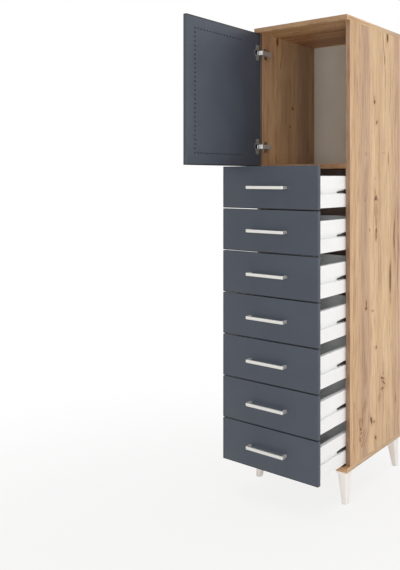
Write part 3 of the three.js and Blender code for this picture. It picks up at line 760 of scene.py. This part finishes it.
door_low, door_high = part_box("door_panel")
door = slab(door_low, door_high)
round_over(door, front_radius, front_steps)
inner_face = door_high.x
places = []
for step in range(border_spaces_up + 1):
    height = door_low.z + border_inset
    height += step / border_spaces_up * (door_high.z - door_low.z - 2 * border_inset)
    places.append((door_low.y + border_inset, height))
for step in range(1, border_spaces_across - border_spaces_left_out):
    back = door_low.y + border_inset
    back += step / border_spaces_across * (door_high.y - door_low.y - 2 * border_inset)
    places.append((back, door_low.z + border_inset))
    places.append((back, door_high.z - border_inset))
cutters = []
bpy.ops.object.select_all(action="DESELECT")
for back, height in places:
    bpy.ops.mesh.primitive_cylinder_add(
        vertices=hole_sides, radius=hole_radius, depth=2 * hole_depth,
        location=(inner_face, back, height), rotation=(0, math.pi / 2, 0))
    cutters.append(bpy.context.object)
for where in ("upper", "lower"):
    cup_low, cup_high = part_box("hinge_cup_" + where)
    middle = (cup_low + cup_high) / 2
    bpy.ops.mesh.primitive_cylinder_add(
        vertices=cup_bore_sides, radius=cup_bore, depth=cup_bore_depth + cutter_overrun,
        location=(inner_face + (cutter_overrun - cup_bore_depth) / 2, middle.y, middle.z),
        rotation=(0, math.pi / 2, 0))
    cutters.append(bpy.context.object)
alone(cutters[0])
for cutter in cutters:
    cutter.select_set(True)
bpy.ops.object.join()
cutter = bpy.context.object
alone(door)
boring = door.modifiers.new("boring", "BOOLEAN")
boring.operation = "DIFFERENCE"
boring.solver = "EXACT"
boring.object = cutter
bpy.ops.object.modifier_apply(modifier="boring")
bpy.data.objects.remove(cutter)
bored, tree, skin, plain, spot = opened(foil, "anthracite_matt_foil_bored")
# Painted shade: the blind holes and the cup bores are dark inside.
sunk = add(tree, "Math", {0: spot[0], 1: inner_face - bore_skin}, operation="LESS_THAN")
within = add(tree, "Math", {0: spot[0], 1: door_low.x + outer_skin}, operation="GREATER_THAN")
across = add(tree, "Math", {0: spot[1], 1: door_low.y + hole_radius}, operation="GREATER_THAN")
hollow = add(tree, "Math", {0: sunk, 1: within}, operation="MULTIPLY")
hollow = add(tree, "Math", {0: hollow, 1: across}, operation="MULTIPLY")
# Painted shade: the face darkens towards the hinges.
rearward = add(tree, "MapRange", {0: spot[1], 1: door_low.y, 2: door_high.y})
shade = add(tree, "ValToRGB", {0: rearward}, stops=(
    (0.0, "#f1f1f2"), (0.25, "#ffffff"), (0.55, "#fafafa"), (0.78, "#e7e7e8")))
base = add(tree, "Mix", {0: 1, 6: plain, 7: shade}, **multiplied)
base = add(tree, "Mix", {0: hollow, 6: base, 7: linear("#15161a")}, **blended)
# A narrow band along the top, the foot and the free edge is darker.
over = add(tree, "Math", {0: spot[2], 1: door_high.z - dark_edge_width}, operation="GREATER_THAN")
under = add(tree, "Math", {0: spot[2], 1: door_low.z + dark_edge_width}, operation="LESS_THAN")
dark_edge = add(tree, "Math", {0: over, 1: under}, operation="MAXIMUM")
outer = add(tree, "Math", {0: spot[0], 1: door_low.x + dark_edge_width}, operation="LESS_THAN")
free = add(tree, "Math", {0: spot[1], 1: door_low.y + front_radius}, operation="LESS_THAN")
free = add(tree, "Math", {0: outer, 1: free}, operation="MULTIPLY")
dark_edge = add(tree, "Math", {0: dark_edge, 1: free}, operation="MAXIMUM")
base = add(tree, "Mix", {0: dark_edge, 6: base, 7: linear("#17191d")}, **blended)
coat(tree, skin, base)
settle(door, "door_foil_panel", bored, "door", "anthracite_front", "door_panel")

# Handles: a bar carried on two posts, cast in one in zinc and lacquered satin nickel, so a soft
# half-metal sheen with marks of brushing along the bar, drawn coarser than real to show. The
# same on the seven drawers and, upright, on the door.
handle_bar = 7 * millimetre
handle_slimmer = 1 * millimetre
handle_post = 9 * millimetre
handle_outer_radius = 3 * millimetre
handle_inner_radius = 2.5 * millimetre
handle_edge = 0.8 * millimetre
outer_steps = 6
inner_steps = 5
edge_steps = 3
brush_width = 0.35 * millimetre
brush_length = 14 * millimetre

nickel, tree, skin = finish("satin_nickel_lacquer", "#d9d5cc", 0.36, 0.6)
spot = add(tree, "TexCoord", output="Object")
along_bar = add(tree, "VectorMath", {
    0: spot, 1: (1 / brush_length, 1 / brush_width, 1 / brush_width)}, operation="MULTIPLY")
brushed = add(tree, "TexNoise", {"Vector": along_bar, "Scale": 1, "Detail": 2})
base = add(tree, "ValToRGB", {0: brushed}, stops=((0.3, "#d6d4cf"), (0.7, "#e6e4e0")))
coat(tree, skin, base, brushed, rough=(0.3, 0.42), relief=(0.2, 0.03))

grip_low, grip_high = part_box("drawer_1_handle")
bar_back = grip_low.y + handle_bar
handle = slab(grip_low + Vector((0, 0, handle_slimmer)),
              Vector((grip_high.x, bar_back, grip_high.z - handle_slimmer)))
post_left = grip_low.x + handle_post
post_right = grip_high.x - handle_post
bpy.ops.object.mode_set(mode="EDIT")
for cut in (post_left, post_right):
    bpy.ops.mesh.select_all(action="SELECT")
    bpy.ops.mesh.bisect(plane_co=(cut, 0, 0), plane_no=(1, 0, 0))


def is_post_end(face):
    outside = face.calc_center_median().x
    return face.normal.y > squarely and (outside < post_left or outside > post_right)


pick(handle, "faces", is_post_end)
post_length = (0, grip_high.y - bar_back, 0)
bpy.ops.mesh.extrude_region_move(TRANSFORM_OT_translate={"value": post_length})


def at_corner(edge, x_places, y_place):
    first, second = (vertex.co for vertex in edge.verts)
    upright = abs(first.z - second.z) > tiny
    on_x = any(abs(first.x - place) < tiny and abs(second.x - place) < tiny
               for place in x_places)
    return upright and on_x and abs(first.y - y_place) < tiny


pick(handle, "edges", lambda edge: at_corner(edge, (grip_low.x, grip_high.x), grip_low.y))
bpy.ops.mesh.bevel(offset=handle_outer_radius, segments=outer_steps, affect="EDGES")
pick(handle, "edges", lambda edge: at_corner(edge, (post_left, post_right), bar_back))
bpy.ops.mesh.bevel(offset=handle_inner_radius, segments=inner_steps, affect="EDGES")
bpy.ops.object.mode_set(mode="OBJECT")
round_over(handle, handle_edge, edge_steps)
grip_middle = (grip_low + grip_high) / 2
for number in drawer_numbers:
    node = f"drawer_{number}_handle"
    drop = Matrix.Translation(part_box(node)[0] - grip_low)
    settle(copied(handle, drop), f"drawer_{number}_bar_handle", nickel, f"drawer_{number}",
           "nickel_handle", node)
door_grip_low, door_grip_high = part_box("door_handle")
door_grip_middle = (door_grip_low + door_grip_high) / 2
upended = Matrix.Rotation(-math.pi / 2, 4, "Z") @ Matrix.Rotation(math.pi / 2, 4, "Y")
change = Matrix.Translation(door_grip_middle) @ upended @ Matrix.Translation(-grip_middle)
settle(copied(handle, change), "door_bar_handle", nickel, "door", "nickel_handle", "door_handle")
bpy.data.objects.remove(handle)

# Drawer boxes: white melamine-faced board with a fine pearled grain, grooved outside for the
# runner and inside for the thin bottom. A screw head shows near the front of each runner groove.
white_cloud = 0.09
white_grain = 1.2 * millimetre

melamine, tree, skin = finish("white_melamine_board", "#f0f1f0", 0.42)
spot = add(tree, "TexCoord", output="Object")
cloud = add(tree, "TexNoise", {"Vector": spot, "Scale": 1 / white_cloud, "Detail": 3})
pearl = add(tree, "TexNoise", {"Vector": spot, "Scale": 1 / white_grain, "Detail": 2})
base = add(tree, "ValToRGB", {0: cloud}, stops=((0.3, "#ecedee"), (0.7, "#f0f1f2")))
coat(tree, skin, base, pearl, rough=(0.38, 0.5), relief=(0.25, 0.05))
for number in drawer_numbers:
    dress(f"drawer_{number}_box", melamine)
    dress(f"drawer_{number}_bottom", melamine)

groove_screw_radius = 3.4 * millimetre
groove_screw_height = 0.22 * millimetre
groove_screw_cross = 1.5 * millimetre
head_rounding = 0.3
head_steps = 2
head_recess = 0.7
groove_screw_from_front = 38 * millimetre
groove_floor_inset = 8.1 * millimetre

screw = screw_head(groove_screw_radius, groove_screw_height,
                   head_rounding * groove_screw_height, head_steps,
                   groove_screw_radius - groove_screw_cross, head_recess * groove_screw_height)
for number in drawer_numbers:
    box_low, box_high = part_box(f"drawer_{number}_box")
    channel_low, channel_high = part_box(f"runner_{number}_right")
    level = (channel_low.z + channel_high.z) / 2
    back = box_low.y + groove_screw_from_front
    for side, face, turn in (("left", box_low.x, -1), ("right", box_high.x, 1)):
        change = Matrix.Translation((face - turn * groove_floor_inset, back, level))
        change = change @ Matrix.Rotation(turn * math.pi / 2, 4, "Y")
        settle(copied(screw, change), f"drawer_{number}_{side}_screw", steel,
               f"drawer_{number}", "runner_steel")
bpy.data.objects.remove(screw)

# Runners: a zinc-plated steel channel on each side panel, its front end dipped in black plastic,
# whose black also stands in for the shade at the case's front edge as painted shade. A glide of
# black acetal, dull and faintly gritty, sits in each groove of the drawer, tapered to a point in
# front, and runs inside the channel; its black wedge also stands in for the shade in the groove.
glide_front = 27 * millimetre
glide_rear = 30 * millimetre
glide_half = 5.2 * millimetre
glide_inset = 0.7 * millimetre
glide_tip_drop = 5.5 * millimetre
glide_tip_sink = 5 * millimetre
glide_rounding = 0.6 * millimetre
glide_gap = 0.05 * millimetre
glide_steps = 2
cap_length = 14 * millimetre
acetal_grain = 0.9 * millimetre

acetal, tree, skin = finish("black_acetal_plastic", "#161617", 0.62)
spot = add(tree, "TexCoord", output="Object")
grit = add(tree, "TexNoise", {"Vector": spot, "Scale": 1 / acetal_grain, "Detail": 2})
base = add(tree, "ValToRGB", {0: grit}, stops=((0.3, "#121213"), (0.7, "#1b1b1c")))
coat(tree, skin, base, grit, relief=(0.3, 0.05))

channel_low, channel_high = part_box("runner_1_right")
capped, tree, skin, plain, spot = opened(steel, "zinc_plated_steel_with_black_end")
# The black end is real plastic and also painted shade at the mouth of the channel.
black_end_and_painted_shade = add(tree, "Math", {0: spot[1], 1: channel_low.y + cap_length},
             operation="LESS_THAN")
base = add(tree, "Mix", {0: black_end_and_painted_shade, 6: plain, 7: linear("#161617")}, **blended)
coat(tree, skin, base)
metal = add(tree, "Math", {0: 1, 1: black_end_and_painted_shade}, operation="SUBTRACT")
tree.links.new(metal, skin.inputs["Metallic"])

box_low, box_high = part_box("drawer_1_box")
level = (channel_low.z + channel_high.z) / 2
glide_low = Vector((box_high.x - groove_floor_inset + glide_gap, case_front - glide_front,
                    level - glide_half))
glide_high = Vector((box_high.x - glide_inset, case_front + glide_rear, level + glide_half))
# The glide's black wedge is a real part and also painted shade in the groove near the case.
glide = slab(glide_low, glide_high)
bpy.ops.object.mode_set(mode="EDIT")
pick(glide, "verts", lambda corner: corner.co.y < case_front - glide_front / 2
     and corner.co.z > level)
bpy.ops.transform.translate(value=(0, 0, -glide_tip_drop))
pick(glide, "verts", lambda corner: corner.co.y < case_front - glide_front / 2
     and corner.co.x > glide_high.x - tiny)
bpy.ops.transform.translate(value=(-glide_tip_sink, 0, 0))
bpy.ops.object.mode_set(mode="OBJECT")
round_over(glide, glide_rounding, glide_steps)
middle = (box_low.x + box_high.x) / 2
across = Matrix.Translation((2 * middle, 0, 0)) @ Matrix.Diagonal((-1, 1, 1, 1))
for number in drawer_numbers:
    dress(f"runner_{number}_left", capped)
    dress(f"runner_{number}_right", capped)
    drop = Matrix.Translation(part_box(f"runner_{number}_right")[0] - channel_low)
    for side, change in (("left", across), ("right", Matrix.Identity(4))):
        settle(copied(glide, drop @ change), f"drawer_{number}_{side}_glide", acetal,
               f"drawer_{number}", "runner_steel")
bpy.data.objects.remove(glide)

# Hinges: the cup is pressed into the door, the arm turns on its pin and straddles a winged plate
# that is screwed to the side panel. Cup, lid and arm are nickel-plated steel, bright with soft
# rolling marks; the cup is a little darker, and painted shade blackens its hollow. The plate is
# dull zinc, and a light grey moulded cover clips on the arm's bend.
cup_hollow_from = 9.6 * millimetre
arm_metal = 0.75
cup_metal = 0.6
rolling = 2 * millimetre
rim_skin = 0.2 * millimetre

plated, tree, skin = finish("nickel_plated_steel", "#cfcfce", 0.24, arm_metal)
spot = add(tree, "TexCoord", output="Object")
rolled = add(tree, "TexNoise", {"Vector": spot, "Scale": 1 / rolling, "Detail": 3})
base = add(tree, "ValToRGB", {0: rolled}, stops=((0.3, "#c3c3c2"), (0.7, "#dadad9")))
coat(tree, skin, base, rolled, rough=(0.36, 0.46))

plate_finish, tree, skin, plain, spot = opened(steel, "zinc_plated_steel_dull")
base = add(tree, "Mix", {0: 1, 6: plain, 7: linear("#bdb5a9")}, **multiplied)
coat(tree, skin, base)

cup_finish, tree, skin, plain, spot = opened(plated, "nickel_plated_steel_cup")
skin.inputs["Metallic"].default_value = cup_metal
cup_low, cup_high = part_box("hinge_cup_upper")
hollow_start = (cup_low.y + cup_high.y) / 2 - cup_hollow_from
# Painted shade: the hollow of the cup is dark.
inside = add(tree, "Math", {0: spot[0], 1: inner_face + rim_skin}, operation="LESS_THAN")
hollow = add(tree, "Math", {0: spot[1], 1: hollow_start}, operation="GREATER_THAN")
inside = add(tree, "Math", {0: inside, 1: hollow}, operation="MULTIPLY")
base = add(tree, "Mix", {0: 1, 6: plain, 7: linear("#b6b6b3")}, **multiplied)
base = add(tree, "Mix", {0: inside, 6: base, 7: linear("#1d1d20")}, **blended)
coat(tree, skin, base)

cover_grey, tree, skin = finish("light_grey_moulded_cover", "#d5d7da", 0.4)
spot = add(tree, "TexCoord", output="Object")
grit = add(tree, "TexNoise", {"Vector": spot, "Scale": 1 / mould_grain, "Detail": 2})
base = add(tree, "ValToRGB", {0: grit}, stops=((0.3, "#dcdddf"), (0.7, "#e6e7e9")))
coat(tree, skin, base, grit, relief=(0.25, 0.04))

knuckle_radius = 2.5 * millimetre
arm_reach = 25 * millimetre
cup_mouth = 16.6 * millimetre
cup_window = 18 * millimetre
cup_lid = 0.9 * millimetre
cup_lid_sides = 56
cover_from_pin = 6.5 * millimetre
cover_thickness = 1.1 * millimetre
arm_half = 1 * millimetre
cover_half = 8.3 * millimetre
cover_rounding = 0.5 * millimetre
cover_steps = 2
hinge_screw = 3.3 * millimetre
hinge_screw_height = 1.1 * millimetre
hinge_screw_cross = 1.6 * millimetre
flange_screw_offset = 24 * millimetre
wing_screw_offset = 16 * millimetre
arm_screw_offsets = (15 * millimetre, 41 * millimetre)
channel_start = 25 * millimetre
wing_thickness = 2 * millimetre

head = screw_head(hinge_screw, hinge_screw_height, head_rounding * hinge_screw_height,
                  head_steps, hinge_screw - hinge_screw_cross,
                  head_recess * hinge_screw_height)
turned = Matrix.Rotation(math.pi / 2, 4, "Y")
for where in ("upper", "lower"):
    dress("hinge_cup_" + where, cup_finish)
    dress("hinge_arm_" + where, plated)
    dress("hinge_plate_" + where, plate_finish)
    cup_low, cup_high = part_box("hinge_cup_" + where)
    arm_low, arm_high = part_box("hinge_arm_" + where)
    plate_low, plate_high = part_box("hinge_plate_" + where)
    level = (cup_low.z + cup_high.z) / 2
    cup_back = (cup_low.y + cup_high.y) / 2
    pin = arm_low + Vector((knuckle_radius, knuckle_radius, 0))

    bpy.ops.object.select_all(action="DESELECT")
    bpy.ops.mesh.primitive_cylinder_add(
        vertices=cup_lid_sides, radius=cup_mouth, depth=cup_lid, rotation=(0, math.pi / 2, 0),
        location=(inner_face + cup_lid / 2, cup_back, level))
    lid = bpy.context.object
    opening = slab(
        Vector((inner_face - cup_lid, cup_back - 2 * cup_mouth, level - cup_window / 2)),
        Vector((inner_face + 2 * cup_lid, cup_back + 2 * cup_mouth, level + cup_window / 2)))
    alone(lid)
    cutting = lid.modifiers.new("window", "BOOLEAN")
    cutting.operation = "DIFFERENCE"
    cutting.solver = "EXACT"
    cutting.object = opening
    bpy.ops.object.modifier_apply(modifier="window")
    bpy.data.objects.remove(opening)
    settle(lid, f"hinge_cup_{where}_lid", cup_finish, "door", "hinge_steel")

    cover_back = arm_low.y + knuckle_radius - arm_half
    cover = slab(
        Vector((pin.x + cover_from_pin, cover_back - cover_thickness, level - cover_half)),
        Vector((pin.x + arm_reach - arm_half, cover_back, level + cover_half)))
    round_over(cover, cover_rounding, cover_steps)
    settle(cover, f"hinge_arm_{where}_cover", cover_grey, "case", "hinge_steel")

    wing = (plate_low.x + wing_thickness, (plate_low.y + plate_high.y) / 2)
    channel = case_front + channel_start
    for name, body, place in (
            ("cup_screw_top", "door", (cup_high.x, cup_back, level + flange_screw_offset)),
            ("cup_screw_low", "door", (cup_high.x, cup_back, level - flange_screw_offset)),
            ("plate_screw_top", "case", (*wing, level + wing_screw_offset)),
            ("plate_screw_low", "case", (*wing, level - wing_screw_offset)),
            ("arm_screw_front", "case", (arm_high.x, channel + arm_screw_offsets[0], level)),
            ("arm_screw_rear", "case", (arm_high.x, channel + arm_screw_offsets[1], level))):
        change = Matrix.Translation(place) @ turned
        settle(copied(head, change), f"hinge_{where}_{name}", steel, body, "hinge_steel")
bpy.data.objects.remove(head)
